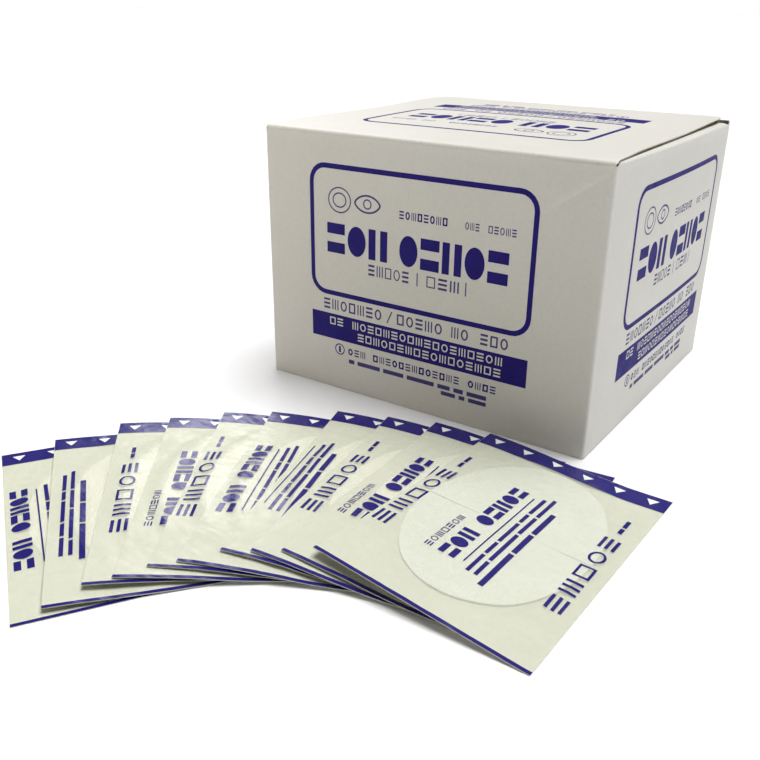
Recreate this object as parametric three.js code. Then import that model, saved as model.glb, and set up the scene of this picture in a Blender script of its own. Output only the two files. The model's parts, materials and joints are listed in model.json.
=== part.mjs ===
// Carton of sterile eye patches, with ten of its packs fanned out on the table in front of it.
//
// The carton is one creased paperboard blank: four walls, a glued seam, a locked bottom, a lid that is
// hinged along the top of the front wall, a tuck flap on the lid and two dust flaps under it. Two rows of
// flat pouches stand in it. Each pouch is a paper back sheet sealed to a clear front film, with one oval
// adhesive patch between them. The top pouch of the fan is built in full: back sheet, film, and a patch of
// backing, pad and two release liners.
//
// Millimetres, +Z up. The origin is the centre of the carton's base, and -Y is the side the lid is hinged on.

import * as THREE from "three";

// Pouch and patch
const PACK_WIDTH = 70;
const PACK_HEIGHT = 101;
const PATCH_WIDTH = 57;
const PATCH_HEIGHT = 82;
const PAD_WIDTH = 40;
const PAD_HEIGHT = 60;
const SHEET = 0.12; // back sheet
const FILM = 0.08; // front film
const GAP = 0.03; // air between layers
const BACKING = 0.25;
const PAD = 0.4;
const LINER = 0.07;
const SEAL = 3; // width of the sealed border at the sides
const OVAL_POINTS = 24;

// Carton
const BOARD = 0.5;
const ROWS = 2;
const PACKS_IN_ROW = 95; // 200 packs, less the ten in the fan, in two rows
const ROW_PITCH = 1.365; // one pack pressed in its row
const WIDTH = ROWS * PACK_WIDTH + 6;
const DEPTH = 136;
const HEIGHT = PACK_HEIGHT + 5;
const CREASE = 0.1; // clearance at a crease
const LID_LIFT = THREE.MathUtils.degToRad(0.5); // the packs hold the shut lid up a little at its free edge
const TUCK_LENGTH = 22;
const TUCK_SLANT = THREE.MathUtils.degToRad(10); // the tuck flap leans in from the back wall
const DUST_LENGTH = 45;
const GLUE_FLAP = 14;

// Fan of loose packs
const FAN_PACKS = 10;
const FAN_STEPS = [6, 7.5, 6, 6.5, 6, 8, 6.5, 6, 7]; // degrees from each pack to the one on it, lowest first
const FAN_SLIDES = [0.5, 0, 1.5, 0, 1, 0, 2, 0.5, 1, 0]; // how far each pack sticks out of the fan
const FAN_TOP_TURN = -2; // degrees; the top pack points almost along +Y
const FAN_PIVOT = new THREE.Vector3(68, -DEPTH / 2 - 184, 0);
const FAN_INNER = 74; // pivot to the bottom edge of a pack
const FAN_TILT = 0.125; // slope across a pack that lies on its neighbours
const FAN_SETTLE = 0.32; // how fast the slope grows from the flat first pack

const COLOURS = {
  board: { color: 0xe4e2d8, roughness: 0.6 },
  inner: { color: 0xc9c3b4, roughness: 0.85 },
  paper: { color: 0xecefe2, roughness: 0.7 },
  film: { color: 0xe3ead0, roughness: 0.3 },
  patch: { color: 0xf4efdf, roughness: 0.9 },
  pad: { color: 0xfafaf4, roughness: 0.95 },
  liner: { color: 0xf3f3ea, roughness: 0.45 },
};
const materials = Object.fromEntries(
  Object.entries(COLOURS).map(([name, look]) => [
    name,
    new THREE.MeshStandardMaterial({ ...look, metalness: 0, name }),
  ]),
);

function piece(name, geometry, material, parent) {
  const mesh = new THREE.Mesh(geometry, materials[material]);
  mesh.name = name;
  parent.add(mesh);
  return mesh;
}

// A closed solid through a stack of rings with the same number of points, capped at both ends.
function ringSolid(rings) {
  const count = rings[0].length;
  const points = rings.flat();
  const index = [];
  for (let r = 0; r + 1 < rings.length; r += 1) {
    for (let i = 0; i < count; i += 1) {
      const a = r * count + i;
      const b = r * count + ((i + 1) % count);
      index.push(a, b, b + count, a, b + count, a + count);
    }
  }
  const middle = (ring) => ring.reduce((sum, p) => sum.add(p), new THREE.Vector3()).divideScalar(count);
  const first = points.push(middle(rings[0])) - 1;
  const last = points.push(middle(rings[rings.length - 1])) - 1;
  const end = (rings.length - 1) * count;
  for (let i = 0; i < count; i += 1) {
    const next = (i + 1) % count;
    index.push(first, next, i, last, end + i, end + next);
  }
  const geometry = new THREE.BufferGeometry().setFromPoints(points);
  geometry.setIndex(index);
  geometry.computeVertexNormals();
  return geometry;
}

// Points round an oval, or round the rectangle that it fits in, at height z.
function ring(width, height, z, square = false) {
  return Array.from({ length: OVAL_POINTS }, (_, i) => {
    const angle = (i / OVAL_POINTS) * 2 * Math.PI;
    const [c, s] = [Math.cos(angle), Math.sin(angle)];
    const reach = square ? Math.max(Math.abs(c), Math.abs(s)) : 1;
    return new THREE.Vector3(((width / 2) * c) / reach, ((height / 2) * s) / reach, z);
  });
}

// A flat board cut to an outline in x and y, from z up by its thickness.
function cutBoard(outline, z = 0, thickness = BOARD) {
  const shape = new THREE.Shape(outline.map(([x, y]) => new THREE.Vector2(x, y)));
  return new THREE.ExtrudeGeometry(shape, { depth: thickness, bevelEnabled: false }).translate(0, 0, z);
}

function wall(xSpan, ySpan, zSpan) {
  const size = [xSpan, ySpan, zSpan].map(([low, high]) => high - low);
  const centre = [xSpan, ySpan, zSpan].map(([low, high]) => (low + high) / 2);
  return new THREE.BoxGeometry(...size).translate(...centre);
}

// ---- Carton ----

const halfWidth = WIDTH / 2;
const halfDepth = DEPTH / 2;
const clear = 0.05; // between boards that lie on each other
const lidHinge = HEIGHT - BOARD;
const dustHinge = lidHinge - BOARD - 3 * clear;

function makeWalls(carton) {
  const inside = halfDepth - BOARD;
  const across = [-halfWidth, halfWidth];
  piece("front_wall", wall(across, [-halfDepth, -inside], [0, lidHinge - clear]), "board", carton);
  piece("back_wall", wall(across, [inside, halfDepth], [0, lidHinge + BOARD / 2]), "board", carton);
  const along = [-inside + clear, inside - clear];
  piece("right_wall", wall([halfWidth - BOARD, halfWidth], along, [0, dustHinge - clear]), "board", carton);
  piece("left_wall", wall([-halfWidth, BOARD - halfWidth], along, [0, dustHinge - clear]), "board", carton);
  const seamX = [clear + BOARD - halfWidth, BOARD - halfWidth + GLUE_FLAP];
  const seamY = [inside - clear - BOARD, inside - clear];
  piece("glue_flap", wall(seamX, seamY, [4, HEIGHT - TUCK_LENGTH - 4]), "inner", carton);
}

// The bottom is three layers of board: one flap from the back, two from the sides and one from the front.
function makeBottom(carton) {
  const x = halfWidth - BOARD - clear;
  const y = halfDepth - BOARD - clear;
  const layer = BOARD + clear;
  const bevel = 18;
  const tongue = 36;
  const backReach = -14;
  const outer = [
    [-x, y], [-x, backReach + bevel], [bevel - x, backReach], [-tongue, backReach],
    [6 - tongue, backReach - 16], [tongue - 6, backReach - 16], [tongue, backReach],
    [x - bevel, backReach], [x, backReach + bevel], [x, y],
  ];
  piece("bottom_back_flap", cutBoard(outer), "board", carton);
  const sideReach = 52;
  for (const [name, side] of [["left", -1], ["right", 1]]) {
    const flap = [[x, -y], [x - sideReach, bevel * 2 - y], [x - sideReach, y - bevel * 2], [x, y]];
    const outline = flap.map(([px, py]) => [side * px, py]);
    piece(`bottom_${name}_flap`, cutBoard(outline, layer), "board", carton);
  }
  const frontReach = 16;
  const inner = [[-x, -y], [x, -y], [x, frontReach - bevel], [x - bevel, frontReach],
    [bevel - x, frontReach], [-x, frontReach - bevel]];
  piece("bottom_front_flap", cutBoard(inner, 2 * layer), "board", carton);
}

// The lid is made flat, with its crease along x at the origin, and stands at its small lift.
function makeLid(carton) {
  const hinge = new THREE.Group();
  hinge.position.set(0, -halfDepth, lidHinge);
  hinge.rotation.x = LID_LIFT;
  carton.add(hinge);

  const side = halfWidth - 0.4;
  const back = DEPTH - BOARD - 0.9;
  const notch = 10; // the lid's free corners are cut back for the dust flaps' shoulders
  const lid = [[-side, CREASE], [side, CREASE], [side, back - notch], [side - 2, back],
    [2 - side, back], [-side, back - notch]];
  piece("lid_panel", cutBoard(lid), "board", hinge);

  const tuckHinge = new THREE.Group();
  tuckHinge.position.set(0, back + clear, 0);
  tuckHinge.rotation.x = -Math.PI / 2 - TUCK_SLANT;
  hinge.add(tuckHinge);
  const half = side - 3.5;
  const corner = 9;
  const tuck = [[-half, CREASE], [half, CREASE]];
  for (const [sideOf, start] of [[1, 0], [-1, Math.PI / 2]]) {
    for (let i = 0; i <= 4; i += 1) {
      const angle = start + (i * Math.PI) / 8;
      tuck.push([sideOf * (half - corner) + corner * Math.cos(angle), TUCK_LENGTH - corner + corner * Math.sin(angle)]);
    }
  }
  piece("tuck_flap", cutBoard(tuck), "board", tuckHinge);
}

// Each dust flap lies under the lid. Its edge by the lid's crease is cut at 45 degrees, so it rises with the lid.
function makeDustFlaps(carton) {
  const front = 3 - halfDepth;
  const back = halfDepth - 7.5;
  const shoulder = 6;
  for (const [name, side] of [["left", -1], ["right", 1]]) {
    const hinge = new THREE.Group();
    hinge.position.set(side * halfWidth, 0, dustHinge);
    carton.add(hinge);
    const outline = [
      [CREASE, front], [CREASE, back], [DUST_LENGTH - shoulder, back - 2],
      [DUST_LENGTH, back - shoulder - 2], [DUST_LENGTH, front + DUST_LENGTH + 2],
    ].map(([x, y]) => [-side * x, y]);
    piece(`dust_flap_${name}`, cutBoard(outline), "board", hinge);
  }
}

// A row is one solid: every pack's sealed border stands free, and the packs press on each other at their pads.
function makeRow(name, centreX, carton) {
  const bottom = 3 * BOARD + 3 * clear + 0.15;
  const border = 0.3;
  const rect = (width, height, y) => {
    const [w, h] = [width / 2, height / 2];
    const z = bottom + PACK_HEIGHT / 2;
    return [[-w, -h], [-w, h], [w, h], [w, -h]].map(([px, pz]) => new THREE.Vector3(centreX + px, y, z + pz));
  };
  const rings = [];
  for (let i = 0; i < PACKS_IN_ROW; i += 1) {
    const y = BOARD + 0.3 - halfDepth + i * ROW_PITCH;
    rings.push(rect(PACK_WIDTH, PACK_HEIGHT, y), rect(PACK_WIDTH, PACK_HEIGHT, y + border));
    if (i < PACKS_IN_ROW - 1) {
      rings.push(rect(PATCH_WIDTH, PATCH_HEIGHT, y + border), rect(PATCH_WIDTH, PATCH_HEIGHT, y + ROW_PITCH));
    }
  }
  piece(name, ringSolid(rings), "paper", carton);
}

// ---- Packs ----

const filmUnder = SHEET + GAP + BACKING + PAD + GAP + LINER + GAP;

function backSheet() {
  return cutBoard(
    [[-1, -1], [1, -1], [1, 1], [-1, 1]].map(([x, y]) => [(x * PACK_WIDTH) / 2, (y * PACK_HEIGHT) / 2]),
    0,
    SHEET,
  );
}

// The film is flat on the back sheet at its border and stands over the patch like a shallow tray.
function frontFilm() {
  const foot = [PACK_WIDTH - 2 * SEAL, PACK_HEIGHT - 3 * SEAL];
  const shoulder = [PATCH_WIDTH + 1.5, PATCH_HEIGHT + 2];
  const low = SHEET + GAP;
  const under = [
    ring(PACK_WIDTH, PACK_HEIGHT, low, true),
    ring(...foot, low),
    ring(...shoulder, filmUnder),
  ];
  const over = under.map((points) => points.map((p) => p.clone().setZ(p.z + FILM)));
  // Up the inside of the tray, out over its top, and down to the border again.
  return ringSolid([...under].reverse().concat(over));
}

// The patch of a shut pack: backing with the pad on it.
function shutPatch() {
  const low = SHEET + GAP;
  const mid = low + BACKING;
  return ringSolid([
    ring(PATCH_WIDTH, PATCH_HEIGHT, low),
    ring(PATCH_WIDTH, PATCH_HEIGHT, mid),
    ring(PAD_WIDTH, PAD_HEIGHT, mid),
    ring(PAD_WIDTH - 1, PAD_HEIGHT - 1, mid + PAD),
  ]);
}

function ovalPlate(width, height, z, thickness) {
  return ringSolid([ring(width, height, z), ring(width, height, z + thickness)]);
}

// Half of the release liner, split across the patch. side is 1 for the end by the opening, -1 for the other.
function linerHalf(side) {
  const split = 0.1;
  const half = [];
  for (let i = 0; i <= OVAL_POINTS / 2; i += 1) {
    const angle = (i / (OVAL_POINTS / 2)) * Math.PI;
    half.push([(PATCH_WIDTH / 2) * Math.cos(angle), side * (split + (PATCH_HEIGHT / 2 - split) * Math.sin(angle))]);
  }
  return cutBoard(half, filmUnder - GAP - LINER, LINER);
}

// Where pack number k of the fan lies: turned round the pivot, and sloping down to its free right edge.
function packPlace(k) {
  const turned = new THREE.Group();
  turned.position.copy(FAN_PIVOT);
  const steps = FAN_STEPS.slice(k - 1).reduce((sum, step) => sum + step, 0);
  turned.rotation.z = THREE.MathUtils.degToRad(FAN_TOP_TURN + steps);
  const slope = Math.atan(FAN_TILT * (1 - FAN_SETTLE ** (k - 1)));
  const leaning = new THREE.Group();
  leaning.rotation.y = slope;
  const out = FAN_INNER + FAN_SLIDES[k - 1] + PACK_HEIGHT / 2;
  leaning.position.set(0, out, (PACK_WIDTH / 2) * Math.sin(slope));
  turned.add(leaning);
  return [turned, leaning];
}

function makeFan(part) {
  for (let k = 1; k <= FAN_PACKS; k += 1) {
    const [turned, pack] = packPlace(k);
    part.add(turned);
    const label = `pack_${String(k).padStart(2, "0")}`;
    piece(`${label}_back_sheet`, backSheet(), "paper", pack);
    piece(`${label}_front_film`, frontFilm(), "film", pack);
    if (k < FAN_PACKS) {
      piece(`${label}_patch`, shutPatch(), "patch", pack);
    } else {
      const low = SHEET + GAP;
      piece(`${label}_patch_backing`, ovalPlate(PATCH_WIDTH, PATCH_HEIGHT, low, BACKING), "patch", pack);
      const padLow = low + BACKING + GAP / 3;
      piece(`${label}_patch_pad`, ovalPlate(PAD_WIDTH, PAD_HEIGHT, padLow, PAD - GAP / 3), "pad", pack);
      piece(`${label}_liner_upper`, linerHalf(1), "liner", pack);
      piece(`${label}_liner_lower`, linerHalf(-1), "liner", pack);
    }
  }
}

const part = new THREE.Group();
part.name = "eye_patch_carton";
makeWalls(part);
makeBottom(part);
makeLid(part);
makeDustFlaps(part);
const rowOffset = PACK_WIDTH / 2 + 1.25;
makeRow("pack_row_left", -rowOffset, part);
makeRow("pack_row_right", rowOffset, part);
makeFan(part);

export default part;
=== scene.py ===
"""The looks of an eye patch carton and a fan of its packs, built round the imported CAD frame.

Every board, sheet, film and patch is a closed mesh: a flat outline with its printing cut into it,
triangulated, bent to its place and given its thickness. Lengths are in millimetres until a mesh is made.
"""

import json
import math

import bpy
import numpy as np
from mathutils import Matrix, Vector
from mathutils.geometry import delaunay_2d_cdt


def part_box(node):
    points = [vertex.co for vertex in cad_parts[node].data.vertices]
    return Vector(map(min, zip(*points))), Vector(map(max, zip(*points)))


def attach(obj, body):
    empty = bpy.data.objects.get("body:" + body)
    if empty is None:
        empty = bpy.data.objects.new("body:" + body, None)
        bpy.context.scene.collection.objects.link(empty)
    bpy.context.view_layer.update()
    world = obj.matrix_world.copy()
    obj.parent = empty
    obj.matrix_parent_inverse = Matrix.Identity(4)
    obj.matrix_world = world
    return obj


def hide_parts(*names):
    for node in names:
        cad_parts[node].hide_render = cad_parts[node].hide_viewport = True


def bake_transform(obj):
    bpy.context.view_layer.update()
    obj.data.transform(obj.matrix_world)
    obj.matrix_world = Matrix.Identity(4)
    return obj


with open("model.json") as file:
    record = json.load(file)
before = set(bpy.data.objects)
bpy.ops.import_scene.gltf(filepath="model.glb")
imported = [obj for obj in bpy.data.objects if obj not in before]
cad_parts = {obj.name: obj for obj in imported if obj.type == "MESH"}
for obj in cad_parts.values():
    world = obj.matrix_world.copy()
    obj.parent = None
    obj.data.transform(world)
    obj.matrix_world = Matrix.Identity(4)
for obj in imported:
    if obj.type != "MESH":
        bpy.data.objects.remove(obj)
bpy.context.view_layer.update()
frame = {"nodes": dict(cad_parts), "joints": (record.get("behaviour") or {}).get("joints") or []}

MM = 0.001
rng = np.random.default_rng(7)


def cad_box_mm(node):
    """Lowest and highest corner of a CAD node, in millimetres."""
    low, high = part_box(node)
    return np.array(low) / MM, np.array(high) / MM


front_low, front_high = cad_box_mm("front_wall")
_, back_high = cad_box_mm("back_wall")
_, lid_high = cad_box_mm("lid_panel")
flap_low, flap_high = cad_box_mm("dust_flap_right")
tuck_low, tuck_high = cad_box_mm("tuck_flap")

HALF_WIDTH = front_high[0]
FRONT = front_low[1]
BACK = back_high[1]
WIDTH = 2 * HALF_WIDTH
DEPTH = BACK - FRONT
BOARD = front_high[1] - front_low[1]
SKIN = BOARD * 0.9  # thickness of a visible board, a little under the CAD's so that folded boards keep apart
HINGE_HEIGHT = frame["joints"][0]["pos_m"][2] / MM
FACE_HEIGHT = HINGE_HEIGHT + BOARD


# ---- Materials ----


class Tree:
    """A node tree with short helpers for its values."""

    def __init__(self, tree):
        self.nodes, self.links = tree.nodes, tree.links

    def ramp(self, value, low, high, start=0.0, end=1.0):
        """value taken from low..high to start..end, held at both ends."""
        node = self.nodes.new("ShaderNodeMapRange")
        for socket, number in zip(("From Min", "From Max", "To Min", "To Max"), (low, high, start, end)):
            node.inputs[socket].default_value = number
        self.links.new(value, node.inputs["Value"])
        return node.outputs["Result"]

    def combine(self, operation, a, b):
        node = self.nodes.new("ShaderNodeMath")
        node.operation = operation
        self.links.new(a, node.inputs[0])
        self.links.new(b, node.inputs[1])
        return node.outputs[0]


class Shader(Tree):
    """A Principled material whose procedural nodes work in object coordinates."""

    def __init__(self, name, color, roughness, **sockets):
        self.material = bpy.data.materials.new(name)
        self.material.use_nodes = True
        super().__init__(self.material.node_tree)
        self.out = self.nodes["Principled BSDF"]
        self.out.inputs["Base Color"].default_value = (*color, 1)
        self.out.inputs["Roughness"].default_value = roughness
        for socket, value in sockets.items():
            self.out.inputs[socket.replace("_", " ")].default_value = value
        self.place = self.nodes.new("ShaderNodeTexCoord").outputs["Object"]

    def noise(self, scale, detail=4, roughness=0.6, stretch=None):
        node = self.nodes.new("ShaderNodeTexNoise")
        node.inputs["Scale"].default_value = scale
        node.inputs["Detail"].default_value = detail
        node.inputs["Roughness"].default_value = roughness
        place = self.place
        if stretch:
            mapping = self.nodes.new("ShaderNodeMapping")
            mapping.inputs["Scale"].default_value = stretch
            self.links.new(place, mapping.inputs["Vector"])
            place = mapping.outputs["Vector"]
        self.links.new(place, node.inputs["Vector"])
        return node.outputs["Fac"]

    def attribute(self, name):
        node = self.nodes.new("ShaderNodeAttribute")
        node.attribute_name = name
        return node.outputs["Fac"]

    def tint(self, factor, color):
        """Mixes color over the base colour by factor."""
        node = self.nodes.new("ShaderNodeMix")
        node.data_type = "RGBA"
        base = self.out.inputs["Base Color"]
        if base.is_linked:
            self.links.new(base.links[0].from_socket, node.inputs[6])
        else:
            node.inputs[6].default_value = base.default_value
        node.inputs[7].default_value = (*color, 1)
        self.links.new(factor, node.inputs[0])
        self.links.new(node.outputs[2], base)

    def rough(self, value):
        self.links.new(value, self.out.inputs["Roughness"])

    def bump(self, height, distance, strength=1.0):
        node = self.nodes.new("ShaderNodeBump")
        node.inputs["Strength"].default_value = strength
        node.inputs["Distance"].default_value = distance
        if self.out.inputs["Normal"].is_linked:
            self.links.new(self.out.inputs["Normal"].links[0].from_socket, node.inputs["Normal"])
        self.links.new(height, node.inputs["Height"])
        self.links.new(node.outputs["Normal"], self.out.inputs["Normal"])


def board_material():
    """Clay-coated boxboard: warm white, faintly mottled, dull and scuffed where it is creased."""
    s = Shader("carton_board", (0.635, 0.622, 0.572), 0.5, Specular_IOR_Level=0.4)
    s.tint(s.ramp(s.noise(26, 3), 0.35, 0.7, 0, 0.35), (0.61, 0.592, 0.535))
    s.tint(s.ramp(s.noise(900, 2), 0.45, 0.75, 0, 0.22), (0.50, 0.475, 0.41))
    s.tint(s.ramp(s.noise(2600, 1), 0.66, 0.74, 0, 0.35), (0.42, 0.38, 0.31))
    worn = s.combine("MULTIPLY", s.attribute("wear"), s.ramp(s.noise(1100, 5), 0.3, 0.7, 0.1, 0.4))
    s.tint(worn, (0.78, 0.765, 0.72))
    s.rough(s.ramp(s.noise(60, 5), 0.3, 0.7, 0.44, 0.58))
    s.bump(s.noise(1500, 4, stretch=(1, 1, 0.35)), 0.00006, 0.5)
    s.bump(s.noise(45, 2), 0.0006, 0.25)
    return s.material


def inner_board_material():
    """Uncoated grey back of the board, with brown and pale fibres."""
    s = Shader("board_inside", (0.46, 0.42, 0.35), 0.88)
    s.tint(s.ramp(s.noise(1400, 3, stretch=(1, 0.3, 1)), 0.45, 0.7, 0, 0.7), (0.36, 0.32, 0.26))
    s.tint(s.ramp(s.noise(3000, 2), 0.62, 0.72, 0, 0.5), (0.66, 0.62, 0.55))
    s.bump(s.noise(1800, 4), 0.00012, 0.7)
    return s.material


def ink_material(name="print_ink", color=(0.014, 0.0075, 0.155)):
    """Offset ink on board: even, a little denser in patches, with a soft gloss."""
    s = Shader(name, color, 0.6, Specular_IOR_Level=0.12)
    s.tint(s.ramp(s.noise(70, 3), 0.4, 0.7, 0, 0.5), tuple(0.72 * c for c in color))
    s.tint(s.ramp(s.noise(2400, 2), 0.6, 0.75, 0, 0.3), (0.06, 0.05, 0.28))
    s.rough(s.ramp(s.noise(200, 4), 0.3, 0.7, 0.52, 0.68))
    s.bump(s.noise(1500, 4, stretch=(1, 1, 0.35)), 0.00005, 0.4)
    return s.material


def paper_material():
    """Smooth medical paper of the packs."""
    s = Shader("pouch_paper", (0.67, 0.677, 0.585), 0.72)
    s.tint(s.ramp(s.noise(1200, 4, stretch=(1, 0.4, 1)), 0.4, 0.7, 0, 0.4), (0.61, 0.617, 0.52))
    s.bump(s.noise(1600, 4), 0.00005, 0.4)
    return s.material


def film_material():
    """Clear plastic film, cloudy and faintly green, crinkled by handling."""
    s = Shader("pouch_film", (0.725, 0.737, 0.615), 0.2, Alpha=0.28, IOR=1.46)
    s.tint(s.ramp(s.noise(120, 3), 0.4, 0.7, 0, 0.4), (0.64, 0.67, 0.53))
    s.rough(s.ramp(s.noise(300, 4), 0.3, 0.7, 0.16, 0.34))
    s.bump(s.noise(48, 3, stretch=(1, 1.8, 1)), 0.0016, 0.5)
    s.bump(s.noise(240, 2), 0.00014, 0.35)
    return s.material


def film_ink_material(name, color, fleck):
    """Print on the film, which shares its crinkles and its shine."""
    s = Shader(name, color, 0.26, IOR=1.46)
    s.tint(s.ramp(s.noise(1500, 3), 0.55, 0.75, 0, 0.4), fleck)
    s.bump(s.noise(48, 3, stretch=(1, 1.8, 1)), 0.0016, 0.45)
    return s.material


def nonwoven_material():
    """Cream non-woven backing of the patch: a mat of fine fibres with an embossed grain."""
    s = Shader("patch_nonwoven", (0.90, 0.885, 0.80), 0.9, Sheen_Weight=0.25, Sheen_Roughness=0.5)
    s.tint(s.ramp(s.noise(1900, 5, 0.7, stretch=(1, 0.3, 1)), 0.42, 0.7, 0, 0.5), (0.79, 0.77, 0.66))
    cells = s.nodes.new("ShaderNodeTexVoronoi")
    cells.feature = "DISTANCE_TO_EDGE"
    cells.inputs["Scale"].default_value = 900
    s.links.new(s.place, cells.inputs["Vector"])
    s.bump(s.ramp(cells.outputs["Distance"], 0, 0.25), 0.0002, 0.6)
    s.bump(s.noise(2600, 4, 0.7), 0.00015, 0.6)
    return s.material


def pad_material():
    """White absorbent fleece."""
    s = Shader("patch_pad", (0.88, 0.88, 0.85), 0.95, Sheen_Weight=0.4, Sheen_Roughness=0.6)
    s.tint(s.ramp(s.noise(900, 5, 0.7), 0.45, 0.7, 0, 0.4), (0.78, 0.78, 0.74))
    s.bump(s.noise(700, 6, 0.7), 0.0006, 0.8)
    return s.material


def liner_material():
    """Silicone-coated release paper, a shade bluer than the fleece, with a faint ribbed grain."""
    s = Shader("release_liner", (0.80, 0.81, 0.77), 0.36, Coat_Weight=0.25, Coat_Roughness=0.3)
    s.tint(s.ramp(s.noise(500, 3), 0.4, 0.7, 0, 0.3), (0.72, 0.73, 0.69))
    ribs = s.nodes.new("ShaderNodeTexWave")
    ribs.inputs["Scale"].default_value = 220
    ribs.inputs["Distortion"].default_value = 0.6
    s.links.new(s.place, ribs.inputs["Vector"])
    s.bump(ribs.outputs["Fac"], 0.00006, 0.4)
    return s.material


BOARD_FACE = board_material()
BOARD_INNER = inner_board_material()
INK = ink_material()
FINE_INK = ink_material("print_ink_fine", (0.062, 0.055, 0.18))  # fine type looks lighter than solid areas
PAPER = paper_material()
FILM = film_material()
FILM_INK = film_ink_material("film_ink", (0.011, 0.007, 0.135), (0.035, 0.028, 0.24))
FILM_WHITE = film_ink_material("film_white", (0.80, 0.82, 0.76), (0.68, 0.70, 0.62))
NONWOVEN = nonwoven_material()
PAD = pad_material()
LINER = liner_material()


# ---- Flat outlines ----


def rectangle(left, low, right, high):
    return [(left, low), (right, low), (right, high), (left, high)]


def rounded(left, low, right, high, radius, steps=7):
    """A rectangle with round corners, anticlockwise."""
    points = []
    corners = [(right, low, -90), (right, high, 0), (left, high, 90), (left, low, 180)]
    for x, y, start in corners:
        cx = x - math.copysign(radius, x - (left + right) / 2)
        cy = y - math.copysign(radius, y - (low + high) / 2)
        for i in range(steps):
            angle = math.radians(start + 90 * i / (steps - 1))
            points.append((cx + radius * math.cos(angle), cy + radius * math.sin(angle)))
    return points


def oval(cx, cy, half_width, half_height, steps=32):
    turns = [2 * math.pi * i / steps for i in range(steps)]
    return [(cx + half_width * math.cos(a), cy + half_height * math.sin(a)) for a in turns]


def triangle(cx, cy, size, down=True):
    tip = -size if down else size
    return [(cx - size * 0.62, cy - tip / 2), (cx + size * 0.62, cy - tip / 2), (cx, cy + tip / 2)]


# Artwork is a list of (ink, outline). Where outlines lie in each other, ink and bare ground take turns.


def mark(style, left, low, right, high, stroke):
    """One abstract mark that stands for a character.

    s: two stacked bars, p: a pair of posts, d: a disc, r: a ring, f: a frame, l: three lines, t: three posts.
    """
    width, height = right - left, high - low
    middle = ((left + right) / 2, (low + high) / 2)
    if style == "s":
        return [rectangle(left, low, right, low + height * 0.36),
                rectangle(left, high - height * 0.36, right, high)]
    if style == "p":
        return [rectangle(left, low, left + width * 0.38, high),
                rectangle(right - width * 0.38, low, right, high)]
    if style == "d":
        return [oval(*middle, width / 2, height / 2, 24)]
    if style == "r":
        return [oval(*middle, width / 2, height / 2, 20),
                oval(*middle, width / 2 - stroke, height / 2 - stroke, 20)]
    if style == "f":
        return [rectangle(left, low, right, high),
                rectangle(left + stroke, low + stroke, right - stroke, high - stroke)]
    if style == "l":
        rise = height * 0.2
        return [rectangle(left, low + i * height * 0.4, right, low + i * height * 0.4 + rise)
                for i in range(3)]
    return [rectangle(left + i * width * 0.41, low, left + i * width * 0.41 + width * 0.18, high)
            for i in range(3)]


def marks(styles, left, low, right, high, gap=0.25, stroke=0.5):
    """A row of abstract marks in place of a word, one for each letter of styles. A space leaves a gap."""
    pitch = (right - left) / (len(styles) - gap)
    shapes = []
    for i, style in enumerate(styles):
        if style != " ":
            start = left + i * pitch
            shapes += mark(style, start, low, start + pitch * (1 - gap), high, stroke)
    return shapes


def bars(lengths, left, low, right, high, gap=1.0):
    """Words of fine print as plain bars. lengths are the words' shares of the line."""
    unit = (right - left - gap * (len(lengths) - 1)) / sum(lengths)
    shapes = []
    for length in lengths:
        shapes.append(rectangle(left, low, left + length * unit, high))
        left += length * unit + gap
    return shapes


# ---- Carton artwork, in millimetres from a panel's lower left corner ----

ART_LEFT, ART_RIGHT = 22.5, 121.5
SIDE_ART_SHIFT = 1.5  # how much further from the front edge the same print is on the right wall


def pictogram(left, low, height):
    """A generic outlined eye patch with a smaller outline inside it, beside an outlined eye."""
    line = 0.55
    patch_x, eye_x, y = left + 6.2, left + 19.5, low + height / 2
    half = height / 2
    patch = [oval(patch_x, y, 5.6, half), oval(patch_x, y, 5.6 - line, half - line),
             oval(patch_x, y, 3.4, half - 2.1), oval(patch_x, y, 3.4 - line, half - 2.1 - line)]
    lens = [(eye_x + 6.3 * math.cos(t), y + 3.6 * math.sin(t) * abs(math.sin(t)) ** 0.35)
            for t in np.linspace(0, 2 * math.pi, 40, endpoint=False)]
    inner = [(eye_x + (px - eye_x) * 0.86, y + (py - y) * 0.8) for px, py in lens]
    eye = [lens, inner, oval(eye_x, y, 2.0, 2.0, 24), oval(eye_x, y, 2.0 - line, 2.0 - line, 24)]
    return patch + eye


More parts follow.
